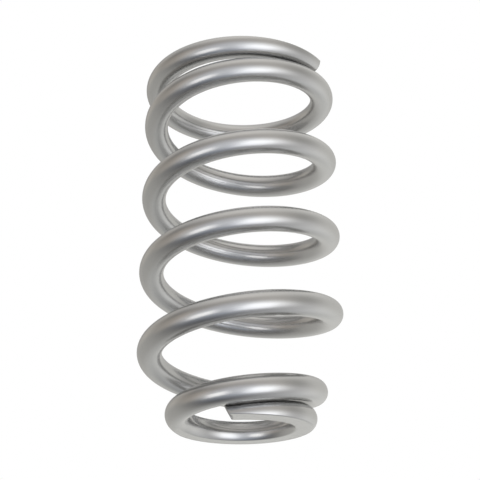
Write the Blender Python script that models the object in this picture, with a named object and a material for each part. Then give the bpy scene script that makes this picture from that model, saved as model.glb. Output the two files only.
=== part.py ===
"""Steel compression spring with a narrow closed seat coil, wide body coils and ground ends."""
import math

import bmesh
import bpy
import mathutils

# Wire and overall size, metres
WIRE_DIAMETER = 0.01642
FREE_LENGTH = 0.254
TOTAL_TURNS = 6.19

# Mean radius of the coil: narrow at the lower seat, wide along the body
SEAT_COIL_RADIUS = 0.04113
BODY_COIL_RADIUS = 0.06062
TOP_COIL_RADIUS = 0.05975
FLARE_START_TURNS = 1.004
FLARE_END_TURNS = 1.73
FLARE_BLEND_TURNS = 0.14
TOP_TAPER_TURNS = 3.3

# The wire's lower tip is drawn in towards the axis, and its last bit is straight
TIP_DRAW_IN = 0.00993
DRAW_IN_START_TURNS = 0.044
DRAW_IN_END_TURNS = 0.289
TIP_STRAIGHT_TURNS = 0.018

# How the coil opens above the closed lower turn and closes towards the top
OPENING_START_TURNS = 0.477
OPENING_END_TURNS = 2.376
OPENING_POWER = 2.41
CLOSING_TURNS = 2.156
CLOSING_POWER = 2.52
LOWER_TIP_GAP = 0.0019
UPPER_TIP_GAP = 0.0009

# Steeper pitch at the tips, where the wire leans against the next turn
LOWER_TIP_PITCH = 0.0387
LOWER_TIP_TURNS = 0.44
UPPER_TIP_PITCH = 0.0628
UPPER_TIP_TURNS = 0.437

# Slightly closer winding halfway up
MIDDLE_DIP_PITCH = 0.0047
MIDDLE_DIP_AT_TURNS = 3.146
MIDDLE_DIP_HALF_TURNS = 0.431

# Height of the wire's centre at each tip, measured out past the ground face
LOWER_TIP_PAST_FACE = 0.00123
UPPER_TIP_PAST_FACE = 0.00162

# Turn angle of the lower tip about the axis
LOWER_TIP_ANGLE = math.radians(-100.95)

# Lean of the flat cut that ends the wire, with its edge near the next turn furthest out
LOWER_CUT_LEAN = math.radians(21.0)
UPPER_CUT_LEAN = math.radians(13.0)

POINTS_PER_TURN = 48
BEVEL_RESOLUTION = 8
GRIND_MARGIN = 0.02
GRIND_DEPTH = 0.03


def limited(value):
    return min(max(value, 0.0), 1.0)


def smooth_step(value):
    share = limited(value)
    return share * share * (3.0 - 2.0 * share)


def blended_ramp(turn, start, blend):
    """Turns past the start, eased in over the blend on both sides of it."""
    past = turn - start
    if past <= -blend:
        return 0.0
    if past >= blend:
        return past
    return (past + blend) ** 2 / (4.0 * blend)


def coil_radius(turn):
    """Mean coil radius at a number of turns above the lower tip."""
    flare = blended_ramp(turn, FLARE_START_TURNS, FLARE_BLEND_TURNS)
    flare -= blended_ramp(turn, FLARE_END_TURNS, FLARE_BLEND_TURNS)
    taper = limited((turn - TOTAL_TURNS + TOP_TAPER_TURNS) / TOP_TAPER_TURNS)
    drawn = (turn - DRAW_IN_START_TURNS) / (DRAW_IN_END_TURNS - DRAW_IN_START_TURNS)
    radius = SEAT_COIL_RADIUS
    radius += (BODY_COIL_RADIUS - SEAT_COIL_RADIUS) * flare / (FLARE_END_TURNS - FLARE_START_TURNS)
    radius += (TOP_COIL_RADIUS - BODY_COIL_RADIUS) * taper
    radius -= TIP_DRAW_IN * (1.0 - smooth_step(drawn))
    return radius


def lower_opening(turn):
    """Share of the body pitch reached while the coil opens above the seat."""
    share = limited((turn - OPENING_START_TURNS) / (OPENING_END_TURNS - OPENING_START_TURNS))
    return 1.0 - (1.0 - share) ** OPENING_POWER


def upper_closing(turn):
    """Share of the closed pitch reached while the coil closes below the top."""
    return smooth_step((turn - TOTAL_TURNS + CLOSING_TURNS) / CLOSING_TURNS) ** CLOSING_POWER


def tip_pitch(turn):
    """Pitch added towards the two tips and taken off halfway up."""
    lower = LOWER_TIP_PITCH * limited(1.0 - turn / LOWER_TIP_TURNS)
    upper = UPPER_TIP_PITCH * limited(1.0 - (TOTAL_TURNS - turn) / UPPER_TIP_TURNS)
    middle = limited(1.0 - ((turn - MIDDLE_DIP_AT_TURNS) / MIDDLE_DIP_HALF_TURNS) ** 2)
    return lower + upper - MIDDLE_DIP_PITCH * middle * middle


def average(function, start, end):
    steps = 2000
    total = 0.0
    for index in range(steps):
        total += function(start + (end - start) * (index + 0.5) / steps)
    return total / steps


def closed_rise(lower_turn, upper_turn, gap):
    """Rise over one closed turn that leaves the gap between its two strands."""
    offset = coil_radius(upper_turn) - coil_radius(lower_turn)
    spacing = WIRE_DIAMETER + gap
    return math.sqrt(spacing * spacing - offset * offset)


def solve_pitches():
    """Lower closed, body and upper closed pitch for the free length and the tip gaps."""
    top_start = TOTAL_TURNS - 1.0
    lower_share = average(lower_opening, 0.0, 1.0)
    upper_share = average(upper_closing, top_start, TOTAL_TURNS)
    lower_rise = closed_rise(0.0, 1.0, LOWER_TIP_GAP) - average(tip_pitch, 0.0, 1.0)
    upper_rise = closed_rise(top_start, TOTAL_TURNS, UPPER_TIP_GAP)
    upper_rise -= average(tip_pitch, top_start, TOTAL_TURNS)
    lower_turns = TOTAL_TURNS * (1.0 - average(lower_opening, 0.0, TOTAL_TURNS))
    upper_turns = TOTAL_TURNS * average(upper_closing, 0.0, TOTAL_TURNS)
    height = FREE_LENGTH + LOWER_TIP_PAST_FACE + UPPER_TIP_PAST_FACE
    height -= TOTAL_TURNS * average(tip_pitch, 0.0, TOTAL_TURNS)
    fixed = lower_turns * lower_rise / (1.0 - lower_share)
    fixed += upper_turns * upper_rise / upper_share
    slope = TOTAL_TURNS - lower_turns - upper_turns
    slope -= lower_turns * lower_share / (1.0 - lower_share)
    slope -= upper_turns * (1.0 - upper_share) / upper_share
    body = (height - fixed) / slope
    lower = (lower_rise - body * lower_share) / (1.0 - lower_share)
    upper = (upper_rise - body * (1.0 - upper_share)) / upper_share
    return lower, body, upper


def plan_point(turn):
    """Place of the wire's centre seen from above; below the straight bit's end it runs straight on."""
    bent = max(turn, TIP_STRAIGHT_TURNS)
    angle = LOWER_TIP_ANGLE + 2.0 * math.pi * bent
    radius = coil_radius(bent)
    back = 2.0 * math.pi * radius * (bent - turn)
    x = radius * math.cos(angle) + back * math.sin(angle)
    y = radius * math.sin(angle) - back * math.cos(angle)
    return x, y


def coil_points():
    """Centre line of the wire, from the lower tip to the upper tip."""
    lower, body, upper = solve_pitches()
    count = round(POINTS_PER_TURN * TOTAL_TURNS)
    step = TOTAL_TURNS / count
    points = []
    height = -LOWER_TIP_PAST_FACE
    for index in range(count + 1):
        turn = index * step
        x, y = plan_point(turn)
        points.append((x, y, height))
        for part in range(8):
            middle = turn + step * (part + 0.5) / 8.0
            pitch = lower + (body - lower) * lower_opening(middle)
            pitch += (upper - body) * upper_closing(middle) + tip_pitch(middle)
            height += pitch * step / 8.0
    return points


def clear_scene():
    for item in list(bpy.data.objects):
        bpy.data.objects.remove(item, do_unlink=True)


def new_collection(name):
    collection = bpy.data.collections.new(name)
    bpy.context.scene.collection.children.link(collection)
    return collection


def steel_coat():
    """Silver metallic powder coat over spring steel."""
    material = bpy.data.materials.new("silver_coat")
    material.use_nodes = True
    shader = material.node_tree.nodes["Principled BSDF"]
    shader.inputs["Base Color"].default_value = (0.62, 0.62, 0.61, 1.0)
    shader.inputs["Metallic"].default_value = 0.9
    shader.inputs["Roughness"].default_value = 0.32
    return material


def wire_curve(name, points):
    """Round wire along the points, closed with a flat cap at each end."""
    curve = bpy.data.curves.new(name, "CURVE")
    curve.dimensions = "3D"
    curve.bevel_depth = WIRE_DIAMETER / 2.0
    curve.bevel_resolution = BEVEL_RESOLUTION
    curve.use_fill_caps = True
    spline = curve.splines.new("POLY")
    spline.points.add(len(points) - 1)
    for point, place in zip(spline.points, points):
        point.co = (place[0], place[1], place[2], 1.0)
    return bpy.data.objects.new(name, curve)


def lean_cut(build, tip, inner, lean):
    """Lean the flat end of the wire by moving its rim along the wire."""
    place = mathutils.Vector(tip)
    axis = (place - mathutils.Vector(inner)).normalized()
    level = axis.cross(mathutils.Vector((0.0, 0.0, 1.0))).normalized()
    upward = level.cross(axis)
    for corner in build.verts:
        offset = corner.co - place
        if offset.length < 0.51 * WIRE_DIAMETER and abs(offset.dot(axis)) < 0.01 * WIRE_DIAMETER:
            corner.co += axis * (offset.dot(upward) * math.tan(lean))


def coiled_wire(collection):
    """Solid wire coil with a leaning flat cut at each tip, not yet ground."""
    points = coil_points()
    drawn = wire_curve("coil_path", points)
    collection.objects.link(drawn)
    graph = bpy.context.evaluated_depsgraph_get()
    mesh = bpy.data.meshes.new_from_object(drawn.evaluated_get(graph))
    build = bmesh.new()
    build.from_mesh(mesh)
    bmesh.ops.remove_doubles(build, verts=build.verts, dist=0.000001)
    lean_cut(build, points[0], points[1], LOWER_CUT_LEAN)
    lean_cut(build, points[-1], points[-2], -UPPER_CUT_LEAN)
    bmesh.ops.recalc_face_normals(build, faces=build.faces)
    build.to_mesh(mesh)
    build.free()
    coil = bpy.data.objects.new("conical_spring", mesh)
    coil.matrix_world = drawn.matrix_world.copy()
    collection.objects.link(coil)
    bpy.data.objects.remove(drawn, do_unlink=True)
    return coil


def grinding_block(name, collection, low, high):
    """Block that stands for the material taken off between two heights."""
    reach = BODY_COIL_RADIUS + WIRE_DIAMETER + GRIND_MARGIN
    build = bmesh.new()
    bmesh.ops.create_cube(build, size=1.0)
    for corner in build.verts:
        corner.co.x *= 2.0 * reach
        corner.co.y *= 2.0 * reach
        corner.co.z = high if corner.co.z > 0.0 else low
    mesh = bpy.data.meshes.new(name)
    build.to_mesh(mesh)
    build.free()
    block = bpy.data.objects.new(name, mesh)
    block.hide_render = True
    block.display_type = "WIRE"
    collection.objects.link(block)
    return block


def grind(coil, block):
    """Flat face where the block meets the coil."""
    cut = coil.modifiers.new("grind_" + block.name, "BOOLEAN")
    cut.operation = "DIFFERENCE"
    cut.solver = "EXACT"
    cut.object = block


def shade(coil):
    bpy.context.view_layer.objects.active = coil
    coil.select_set(True)
    coil.data.shade_smooth()
    coil.data.set_sharp_from_angle(angle=math.radians(40.0))


def build_spring():
    clear_scene()
    parts = new_collection("conical_spring")
    cutters = new_collection("cutters")
    coil = coiled_wire(parts)
    coil.data.materials.append(steel_coat())
    lower_block = grinding_block("lower_face", cutters, -GRIND_DEPTH, 0.0)
    upper_block = grinding_block("upper_face", cutters, FREE_LENGTH, FREE_LENGTH + GRIND_DEPTH)
    grind(coil, lower_block)
    grind(coil, upper_block)
    shade(coil)


build_spring()
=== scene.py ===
import math

import bmesh
import bpy
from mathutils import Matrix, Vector


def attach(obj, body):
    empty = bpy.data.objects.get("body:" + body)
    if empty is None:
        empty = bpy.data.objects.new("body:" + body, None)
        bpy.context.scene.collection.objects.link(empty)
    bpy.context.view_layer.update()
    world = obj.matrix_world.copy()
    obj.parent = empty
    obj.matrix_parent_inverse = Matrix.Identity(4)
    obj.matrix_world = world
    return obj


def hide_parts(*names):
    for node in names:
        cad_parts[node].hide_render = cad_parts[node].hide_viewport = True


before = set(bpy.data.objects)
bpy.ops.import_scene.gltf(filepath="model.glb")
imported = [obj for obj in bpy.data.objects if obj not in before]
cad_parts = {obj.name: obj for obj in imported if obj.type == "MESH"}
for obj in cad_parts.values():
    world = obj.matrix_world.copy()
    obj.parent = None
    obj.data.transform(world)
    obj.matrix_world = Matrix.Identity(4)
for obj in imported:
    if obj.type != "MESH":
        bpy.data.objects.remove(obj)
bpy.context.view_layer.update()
print("frame loaded")

# metres, and turns counted from the lower tip; they repeat the part's own sizes
spring = {
    "wire": 0.01642,
    "length": 0.254,
    "turns": 6.19,
    # mean radii of the coil, and how it goes from one to the next
    "seatRadius": 0.04113,
    "bodyRadius": 0.06062,
    "topRadius": 0.05975,
    "flareStart": 1.004,
    "flareEnd": 1.73,
    "flareBlend": 0.14,
    "taperTurns": 3.3,     # the last turns, over which the body narrows to the top
    "drawIn": 0.00993,     # how far the lower tip stands in from its coil
    "drawInStart": 0.044,
    "drawInEnd": 0.289,
    "straightTurns": 0.018,
    # how the pitch opens above the foot and closes at the top
    "openingStart": 0.477,
    "openingEnd": 2.376,
    "openingPower": 2.41,
    "closingTurns": 2.156,
    "closingPower": 2.52,
    "lowerGap": 0.0019,    # between each tip and the turn beside it
    "upperGap": 0.0009,
    "lowerTipPitch": 0.0387,
    "lowerTipTurns": 0.44,
    "upperTipPitch": 0.0628,
    "upperTipTurns": 0.437,
    "dipPitch": 0.0047,    # the middle coils stand this much closer
    "dipAt": 3.146,
    "dipHalf": 0.431,
    "lowerPast": 0.00123,  # how far the wire's centre ends past each ground face
    "upperPast": 0.00162,
    "tipAngle": math.radians(-100.95),
    "lowerLean": math.radians(21.0),
    "upperLean": math.radians(13.0),
    # only here: the lower tip stands a little above its even rise
    "tipLift": 0.0014,
    "tipLiftTurns": 0.45,
    # only here: how fine the mesh is and how the coat rounds its edges
    "ringsPerTurn": 128,
    "heightSteps": 8,      # between two rings
    "roundPoints": 22,     # on each side of the wire between the two faces
    "facePoints": 5,       # across each ground face
    "edge": 0.0004,        # how far the coat rounds a ground edge
    "endEdge": 0.0014,     # and the rim of a cut end, farthest from its ground face
    "rimRings": 4,         # steps in the rounding of that rim
    "rimSupport": 0.0001,  # a ring this far before the rim keeps the shading straight
    "minHalfAngle": math.radians(7.0),
}


def limited(value):
    return min(max(value, 0.0), 1.0)


def smoothStep(value):
    share = limited(value)
    return share * share * (3.0 - 2.0 * share)


# rises by one in each turn after the start, with a soft bend there
def blendedRamp(turn, start):
    past, blend = turn - start, spring["flareBlend"]
    if past <= -blend:
        return 0.0
    if past >= blend:
        return past
    return (past + blend) ** 2 / (4.0 * blend)


def coilRadius(turn):
    s = spring
    flare = blendedRamp(turn, s["flareStart"]) - blendedRamp(turn, s["flareEnd"])
    flare = flare / (s["flareEnd"] - s["flareStart"])
    taper = limited((turn - s["turns"] + s["taperTurns"]) / s["taperTurns"])
    drawn = smoothStep((turn - s["drawInStart"]) / (s["drawInEnd"] - s["drawInStart"]))
    radius = s["seatRadius"] + (s["bodyRadius"] - s["seatRadius"]) * flare
    return radius + (s["topRadius"] - s["bodyRadius"]) * taper - s["drawIn"] * (1.0 - drawn)


def lowerOpening(turn):
    start, end = spring["openingStart"], spring["openingEnd"]
    share = limited((turn - start) / (end - start))
    return 1.0 - (1.0 - share) ** spring["openingPower"]


def upperClosing(turn):
    share = (turn - spring["turns"] + spring["closingTurns"]) / spring["closingTurns"]
    return smoothStep(share) ** spring["closingPower"]


def tipPitch(turn):
    s = spring
    lower = s["lowerTipPitch"] * limited(1.0 - turn / s["lowerTipTurns"])
    upper = s["upperTipPitch"] * limited(1.0 - (s["turns"] - turn) / s["upperTipTurns"])
    middle = limited(1.0 - ((turn - s["dipAt"]) / s["dipHalf"]) ** 2)
    return lower + upper - s["dipPitch"] * middle * middle


def tipLift(turn):
    return spring["tipLift"] * (1.0 - smoothStep(turn / spring["tipLiftTurns"]))


def average(function, start, end):
    steps = 2000
    total = sum(function(start + (end - start) * (i + 0.5) / steps) for i in range(steps))
    return total / steps


# rise between two turns that leaves this gap between them
def closedRise(lowerTurn, upperTurn, gap):
    offset = coilRadius(upperTurn) - coilRadius(lowerTurn)
    spacing = spring["wire"] + gap
    return math.sqrt(spacing * spacing - offset * offset)


# closed pitch at the foot, pitch of the body and closed pitch at the top
def solvePitches():
    turns = spring["turns"]
    last = turns - 1.0
    lowerShare = average(lowerOpening, 0.0, 1.0)
    upperShare = average(upperClosing, last, turns)
    lowerRise = closedRise(0.0, 1.0, spring["lowerGap"]) - average(tipPitch, 0.0, 1.0)
    upperRise = closedRise(last, turns, spring["upperGap"]) - average(tipPitch, last, turns)
    lowerTurns = turns * (1.0 - average(lowerOpening, 0.0, turns))
    upperTurns = turns * average(upperClosing, 0.0, turns)
    height = spring["length"] + spring["lowerPast"] + spring["upperPast"]
    height -= turns * average(tipPitch, 0.0, turns)
    fixed = lowerTurns * lowerRise / (1.0 - lowerShare) + upperTurns * upperRise / upperShare
    slope = turns - lowerTurns - upperTurns
    slope -= lowerTurns * lowerShare / (1.0 - lowerShare)
    slope -= upperTurns * (1.0 - upperShare) / upperShare
    body = (height - fixed) / slope
    lower = (lowerRise - body * lowerShare) / (1.0 - lowerShare)
    upper = (upperRise - body * (1.0 - upperShare)) / upperShare
    return lower, body, upper


# the wire seen from above; its first bit, at the lower tip, runs straight
def planPoint(turn):
    bent = max(turn, spring["straightTurns"])
    angle = spring["tipAngle"] + 2.0 * math.pi * bent
    radius = coilRadius(bent)
    back = 2.0 * math.pi * radius * (bent - turn)
    return Vector((
        radius * math.cos(angle) + back * math.sin(angle),
        radius * math.sin(angle) - back * math.cos(angle),
        0.0,
    ))


# change of a function in one turn, at one place
def slopeOf(function, turn):
    near = 0.001
    return (function(turn + near) - function(turn - near)) / (2.0 * near)


# centre, tangent, outward and upward directions along the wire
def coilPath():
    lower, body, upper = solvePitches()

    def pitch(turn):
        opened = lower + (body - lower) * lowerOpening(turn)
        return opened + (upper - body) * upperClosing(turn) + tipPitch(turn)

    count = round(spring["turns"] * spring["ringsPerTurn"])
    step = spring["turns"] / count
    parts = spring["heightSteps"]
    height = -spring["lowerPast"]
    rows = []
    for index in range(count + 1):
        turn = index * step
        along = slopeOf(planPoint, turn)
        slope = pitch(turn) + slopeOf(tipLift, turn)
        tangent = (along + Vector((0.0, 0.0, slope))).normalized()
        level = Vector((along.y, -along.x, 0.0)).normalized()
        outward = (level - tangent * level.dot(tangent)).normalized()
        upward = outward.cross(tangent)
        if upward.z < 0.0:
            upward = -upward
        centre = planPoint(turn) + Vector((0.0, 0.0, height + tipLift(turn)))
        rows.append((centre, tangent, outward, upward))
        for part in range(parts):
            height += pitch(turn + step * (part + 0.5) / parts) * step / parts
    return rows


# a point held between the two ground faces
def ground(place):
    place.z = min(max(place.z, 0.0), spring["length"])
    return place


# half angle of the arc that a ground face takes off a section
def halfAngle(past, reach):
    return math.acos(min(max(past / reach, -1.0), 1.0))


# outline of one section, with both ground faces and their rounded edges; a cut end leans
def section(row, lean=0.0, lift=0.0):
    centre, tangent, outward, upward = row
    radius = spring["wire"] / 2.0
    reach = radius * upward.z
    low = max(halfAngle(centre.z, reach), spring["minHalfAngle"])
    high = max(halfAngle(spring["length"] - centre.z, reach), spring["minHalfAngle"])
    down, up = -math.pi / 2.0, math.pi / 2.0
    downAgain = down + 2.0 * math.pi
    edge = spring["edge"] / radius
    roundPoints, facePoints = spring["roundPoints"], spring["facePoints"]

    def run(start, end, points):
        return [start + (end - start) * i / points for i in range(points)]

    angles = run(down - low, down + low, facePoints)
    angles += [down + low, down + low + edge * 0.5]
    angles += run(down + low + edge, up - high - edge, roundPoints)
    angles += [up - high - edge, up - high - edge * 0.5]
    angles += run(up - high, up + high, facePoints)
    angles += [up + high, up + high + edge * 0.5]
    angles += run(up + high + edge, downAgain - low - edge, roundPoints)
    angles += [downAgain - low - edge, downAgain - low - edge * 0.5]
    points = []
    for angle in angles:
        place = ground(centre + (outward * math.cos(angle) + upward * math.sin(angle)) * radius)
        rise = (place - centre).dot(upward) + lift
        points.append(ground(place - tangent * (rise * math.tan(lean))))
    return points


# rings that round the rim of a cut end, from the full section to the flat of the cut;
# inward is 1 where the wire goes on along its tangent and -1 where it goes back
def endRings(row, lean, lift, inward, face):
    points = section(row, lean, lift)
    middle = sum(points, Vector()) / len(points)
    steps = [(0.0, spring["rimSupport"])]
    steps += [(90.0 * i / spring["rimRings"], 0.0) for i in range(spring["rimRings"] + 1)]
    rings = []
    for turned, extra in steps:
        bend = math.radians(turned)
        ring = []
        for place in points:
            share = limited(abs(place.z - face) / (spring["wire"] / 2.0))
            edge = spring["edge"] + (spring["endEdge"] - spring["edge"]) * share
            toward = place - middle
            moved = middle + toward * (1.0 - edge * (1.0 - math.cos(bend)) / toward.length)
            moved += row[1] * (inward * (edge * (1.0 - math.sin(bend)) + extra))
            ring.append(ground(moved))
        rings.append(ring)
    return rings


def makeSpring():
    rows = coilPath()
    outlines = endRings(rows[0], spring["lowerLean"], spring["tipLift"], 1.0, 0.0)[::-1]
    outlines += [section(row) for row in rows[1:-1]]
    outlines += endRings(rows[-1], spring["upperLean"], 0.0, -1.0, spring["length"])
    build = bmesh.new()
    rings = [[build.verts.new(place) for place in points] for points in outlines]
    for before, after in zip(rings, rings[1:]):
        size = len(before)
        for i in range(size):
            j = (i + 1) % size
            build.faces.new((before[i], before[j], after[j], after[i]))
    build.faces.new(rings[0][::-1])
    build.faces.new(rings[-1])
    bmesh.ops.recalc_face_normals(build, faces=build.faces)
    mesh = bpy.data.meshes.new("spring_wire")
    build.to_mesh(mesh)
    build.free()
    mesh.shade_smooth()
    wire = bpy.data.objects.new("spring_wire", mesh)
    bpy.context.scene.collection.objects.link(wire)
    return wire


springWire = makeSpring()
print("spring made:", len(springWire.data.polygons), "faces")

# satin silver coat, with a very fine flake and a faint waviness
coat = {
    "colour": (0.49, 0.49, 0.487),
    "metallic": 1.0,
    "roughness": 0.26,
    "roughnessSpread": 0.02,
    "tintSpread": 0.03,
    "flakeSize": 1400.0,     # cells in a metre
    "flakeDepth": 0.006,     # share of the flake's reach below
    "flakeReach": 0.0005,    # metres
    "waveSize": 90.0,
    "waveDepth": 0.03,
    "waveReach": 0.001,
}


def makeCoat():
    material = bpy.data.materials.new("silver_coat")
    material.use_nodes = True
    tree = material.node_tree
    shader = tree.nodes["Principled BSDF"]
    shader.inputs["Metallic"].default_value = coat["metallic"]
    place = tree.nodes.new("ShaderNodeTexCoord")

    def noise(scale, detail):
        node = tree.nodes.new("ShaderNodeTexNoise")
        node.inputs["Scale"].default_value = scale
        node.inputs["Detail"].default_value = detail
        tree.links.new(place.outputs["Object"], node.inputs["Vector"])
        return node.outputs["Fac"]

    def spread(source, middle, reach):
        node = tree.nodes.new("ShaderNodeMapRange")
        node.inputs["To Min"].default_value = middle - reach
        node.inputs["To Max"].default_value = middle + reach
        tree.links.new(source, node.inputs["Value"])
        return node.outputs["Result"]

    def bump(source, strength, distance):
        node = tree.nodes.new("ShaderNodeBump")
        node.inputs["Strength"].default_value = strength
        node.inputs["Distance"].default_value = distance
        tree.links.new(source, node.inputs["Height"])
        return node

    flakes = noise(coat["flakeSize"], 1.0)
    waves = noise(coat["waveSize"], 2.0)

    colour = tree.nodes.new("ShaderNodeVectorMath")
    colour.operation = "SCALE"
    colour.inputs["Vector"].default_value = coat["colour"]
    tree.links.new(spread(flakes, 1.0, coat["tintSpread"]), colour.inputs["Scale"])
    tree.links.new(colour.outputs["Vector"], shader.inputs["Base Color"])

    rough = spread(waves, coat["roughness"], coat["roughnessSpread"])
    tree.links.new(rough, shader.inputs["Roughness"])

    fine = bump(flakes, coat["flakeDepth"], coat["flakeReach"])
    wavy = bump(waves, coat["waveDepth"], coat["waveReach"])
    tree.links.new(fine.outputs["Normal"], wavy.inputs["Normal"])
    tree.links.new(wavy.outputs["Normal"], shader.inputs["Normal"])
    return material


springWire.data.materials.append(makeCoat())
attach(springWire, "root")
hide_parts("conical_spring")
print("coat made")

view = {
    "place": (0.0, -0.6705, -0.1579),
    "pitch": 23.38,      # degrees up from level
    "turn": -0.008,      # degrees to the right
    "roll": -0.295,
    "lens": 79.09,
    "sensor": 36.0,
    "nearest": 0.01,     # metres
}


def makeCamera():
    camera = bpy.data.cameras.new("camera")
    camera.lens = view["lens"]
    camera.sensor_width = view["sensor"]
    camera.clip_start = view["nearest"]
    holder = bpy.data.objects.new("camera", camera)
    pitch, turn, roll = (math.radians(view[key]) for key in ("pitch", "turn", "roll"))
    forward = Vector((
        math.sin(turn) * math.cos(pitch),
        math.cos(turn) * math.cos(pitch),
        math.sin(pitch),
    ))
    right = forward.cross(Vector((0.0, 0.0, 1.0))).normalized()
    up = right.cross(forward)
    rolledRight = right * math.cos(roll) + up * math.sin(roll)
    rolledUp = up * math.cos(roll) - right * math.sin(roll)
    basis = holder.matrix_world.to_3x3()
    for row in range(3):
        basis[row][0] = rolledRight[row]
        basis[row][1] = rolledUp[row]
        basis[row][2] = -forward[row]
    holder.matrix_world = basis.to_4x4()
    holder.location = view["place"]
    bpy.context.scene.collection.objects.link(holder)
    bpy.context.scene.camera = holder


makeCamera()
print("camera made")

floorLook = {"size": 24.0, "colour": (0.92, 0.92, 0.91, 1.0)}


def makeFloor():
    build = bmesh.new()
    bmesh.ops.create_grid(build, x_segments=1, y_segments=1, size=floorLook["size"] / 2.0)
    mesh = bpy.data.meshes.new("floor")
    build.to_mesh(mesh)
    build.free()
    floor = bpy.data.objects.new("floor", mesh)
    bpy.context.scene.collection.objects.link(floor)
    material = bpy.data.materials.new("floor")
    material.use_nodes = True
    tree = material.node_tree
    tree.nodes.clear()
    output = tree.nodes.new("ShaderNodeOutputMaterial")
    clear = tree.nodes.new("ShaderNodeBsdfTransparent")
    paint = tree.nodes.new("ShaderNodeBsdfDiffuse")
    paint.inputs["Color"].default_value = floorLook["colour"]
    path = tree.nodes.new("ShaderNodeLightPath")
    face = tree.nodes.new("ShaderNodeNewGeometry")
    # the camera sees it only from above, and the lamps below it shine through
    shown = tree.nodes.new("ShaderNodeMath")
    shown.operation = "SUBTRACT"
    shown.use_clamp = True
    tree.links.new(path.outputs["Is Camera Ray"], shown.inputs[0])
    tree.links.new(face.outputs["Backfacing"], shown.inputs[1])
    mix = tree.nodes.new("ShaderNodeMixShader")
    tree.links.new(shown.outputs["Value"], mix.inputs["Fac"])
    tree.links.new(clear.outputs["BSDF"], mix.inputs[1])
    tree.links.new(paint.outputs["BSDF"], mix.inputs[2])
    tree.links.new(mix.outputs["Shader"], output.inputs["Surface"])
    floor.data.materials.append(material)


makeFloor()
print("floor made")

# directions in degrees: turn to the right of the front, rise up from level
studio = {
    # far, wide and tall in metres, power in watts
    "lamps": [
        {
            "name": "lamp_right", "turn": 31.2, "rise": -37.6, "far": 2.0,
            "wide": 1.16, "tall": 1.5, "power": 3.25, "colour": (0.94, 0.95, 1.00),
        },
        {
            "name": "lamp_left", "turn": -36.9, "rise": -32.6, "far": 2.0,
            "wide": 0.94, "tall": 0.86, "power": 2.90, "colour": (1.00, 0.97, 0.93),
        },
    ],
    # soft pale walls that the metal shows: place, turn, rise, width in degrees,
    # and colour with its level
    "walls": [
        ("top", -80.0, 87.0, 33.0, (0.77, 0.76, 0.73)),
        ("right", 82.0, 4.0, 46.0, (0.32, 0.32, 0.30)),
        ("right back", 137.0, 10.5, 33.5, (0.57, 0.56, 0.53)),
        ("left back", -142.0, -16.0, 36.0, (0.59, 0.58, 0.54)),
        ("left", -72.5, 0.0, 18.5, (0.37, 0.33, 0.28)),
        ("front high", 0.0, 10.5, 44.5, (0.52, 0.49, 0.45)),
        ("right low", 88.0, -44.5, 29.5, (0.39, 0.39, 0.40)),
        ("front low", -8.5, -33.0, 31.0, (0.34, 0.39, 0.47)),
        ("left high", -114.0, 26.0, 17.0, (0.28, 0.25, 0.21)),
        ("by lamp right", 35.0, -28.0, 21.0, (0.77, 0.78, 0.80)),
        ("by lamp left", -48.5, -22.0, 17.0, (0.23, 0.23, 0.23)),
        ("back low", 155.0, -36.5, 28.5, (0.23, 0.24, 0.24)),
    ],
    "ground": (0.0, 0.0, 0.01),
    "plain": 0.9,     # level of the light on everything that doesn't shine
    "white": 1.0,     # level that the camera sees behind the spring
}


def direction(turn, rise):
    turn, rise = math.radians(turn), math.radians(rise)
    return Vector((
        math.sin(turn) * math.cos(rise),
        -math.cos(turn) * math.cos(rise),
        math.sin(rise),
    ))


def makeLamps():
    middle = Vector((0.0, 0.0, spring["length"] / 2.0))
    for item in studio["lamps"]:
        lamp = bpy.data.lights.new(item["name"], "AREA")
        lamp.shape = "RECTANGLE"
        lamp.size = item["wide"]
        lamp.size_y = item["tall"]
        lamp.energy = item["power"]
        lamp.color = item["colour"]
        toward = direction(item["turn"], item["rise"])
        holder = bpy.data.objects.new(item["name"], lamp)
        holder.location = middle + toward * item["far"]
        holder.rotation_euler = toward.to_track_quat("Z", "Y").to_euler()
        holder.visible_camera = False
        bpy.context.scene.collection.objects.link(holder)


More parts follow.
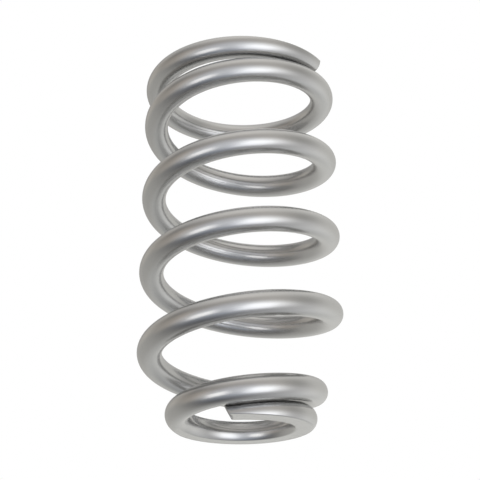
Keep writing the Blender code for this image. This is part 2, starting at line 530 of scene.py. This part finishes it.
def makeWorld():
    world = bpy.data.worlds.new("studio")
    bpy.context.scene.world = world
    world.use_nodes = True
    tree = world.node_tree
    tree.nodes.clear()
    output = tree.nodes.new("ShaderNodeOutputWorld")
    place = tree.nodes.new("ShaderNodeTexCoord").outputs["Generated"]

    def combine(kind, operation, first, second):
        node = tree.nodes.new(kind)
        node.operation = operation
        for socket, value in zip(node.inputs, (first, second)):
            if isinstance(value, bpy.types.NodeSocket):
                tree.links.new(value, socket)
            else:
                socket.default_value = value
        return node.outputs

    def number(operation, first, second=0.0):
        return combine("ShaderNodeMath", operation, first, second)["Value"]

    def arrow(operation, first, second):
        return combine("ShaderNodeVectorMath", operation, first, second)

    # each wall fades away from its middle as a soft round patch
    total = studio["ground"]
    for name, turn, rise, width, colour in studio["walls"]:
        toward = arrow("DOT_PRODUCT", place, direction(turn, rise))["Value"]
        off = number("SUBTRACT", 1.0, toward)
        away = number("DIVIDE", off, math.radians(width) ** 2)
        falloff = number("EXPONENT", number("MULTIPLY", away, number("MULTIPLY", away, -1.0)))
        tinted = tree.nodes.new("ShaderNodeVectorMath")
        tinted.operation = "SCALE"
        tinted.label = name
        tinted.inputs["Vector"].default_value = colour
        tree.links.new(falloff, tinted.inputs["Scale"])
        total = arrow("ADD", tinted.outputs["Vector"], total)["Vector"]

    def background(colour):
        node = tree.nodes.new("ShaderNodeBackground")
        if isinstance(colour, bpy.types.NodeSocket):
            tree.links.new(colour, node.inputs["Color"])
        else:
            node.inputs["Color"].default_value = (colour, colour, colour, 1.0)
        return node.outputs["Background"]

    def choose(factor, atNone, atFull):
        node = tree.nodes.new("ShaderNodeMixShader")
        tree.links.new(factor, node.inputs["Fac"])
        tree.links.new(atNone, node.inputs[1])
        tree.links.new(atFull, node.inputs[2])
        return node.outputs["Shader"]

    # the camera sees white, metal and glass the pale walls, and the rest a plain level
    path = tree.nodes.new("ShaderNodeLightPath").outputs
    mirrored = number("MAXIMUM", path["Is Glossy Ray"], path["Is Transmission Ray"])
    lit = choose(mirrored, background(studio["plain"]), background(total))
    seen = choose(path["Is Camera Ray"], lit, background(studio["white"]))
    tree.links.new(seen, output.inputs["Surface"])


makeLamps()
makeWorld()
bpy.context.scene.view_settings.view_transform = "Standard"
print("studio made")
